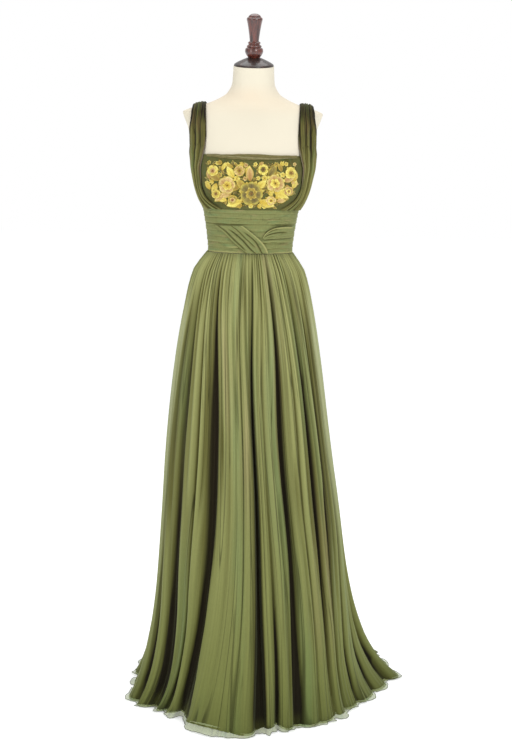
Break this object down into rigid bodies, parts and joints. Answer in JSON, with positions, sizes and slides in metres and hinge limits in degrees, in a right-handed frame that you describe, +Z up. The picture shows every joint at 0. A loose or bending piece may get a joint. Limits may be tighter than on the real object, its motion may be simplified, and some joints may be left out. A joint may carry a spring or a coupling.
{
  "type": "evening gown on dress form",
  "caption": "Long gathered chiffon evening gown with a floral applique bodice and wide pleated straps, on a limbless dress form with a turned wooden handle and a hidden stand.",
  "frame": {"origin": "on the floor, on the axis of the stand's pole", "axes": "+Z up, the gown faces -Y, +X is to the right of a viewer in front of it"},
  "size_m": [0.7438, 0.8551, 1.8096],
  "materials": {
    "chiffon": "sheer gathered chiffon, moss to sage green with khaki lights",
    "chiffon_dark": "dark olive chiffon in dense lengthwise folds",
    "binding": "soft khaki tulle strip",
    "embroidery": "raised floral applique in golds and copper with beads on dark olive cloth",
    "form_cloth": "smooth cream jersey",
    "mahogany": "polished red-brown lacquered wood",
    "cap_wood": "very dark lacquered wood",
    "steel": "plain steel tube"
  },
  "bodies": {
    "root": {"bodice_front": "embroidery", "bodice_back": "chiffon_dark", "neckline_binding": "binding", "strap_left": "chiffon_dark", "strap_right": "chiffon_dark", "midriff_front": "chiffon", "midriff_back": "chiffon", "drape_left": "chiffon", "drape_right": "chiffon", "skirt_front": "chiffon", "skirt_back_right": "chiffon", "skirt_back_left": "chiffon", "skirt_side_left": "chiffon", "form_torso": "form_cloth", "neck_cap": "cap_wood", "finial": "mahogany", "stand_pole": "steel", "stand_base": "cap_wood"}
  },
  "joints": []
}
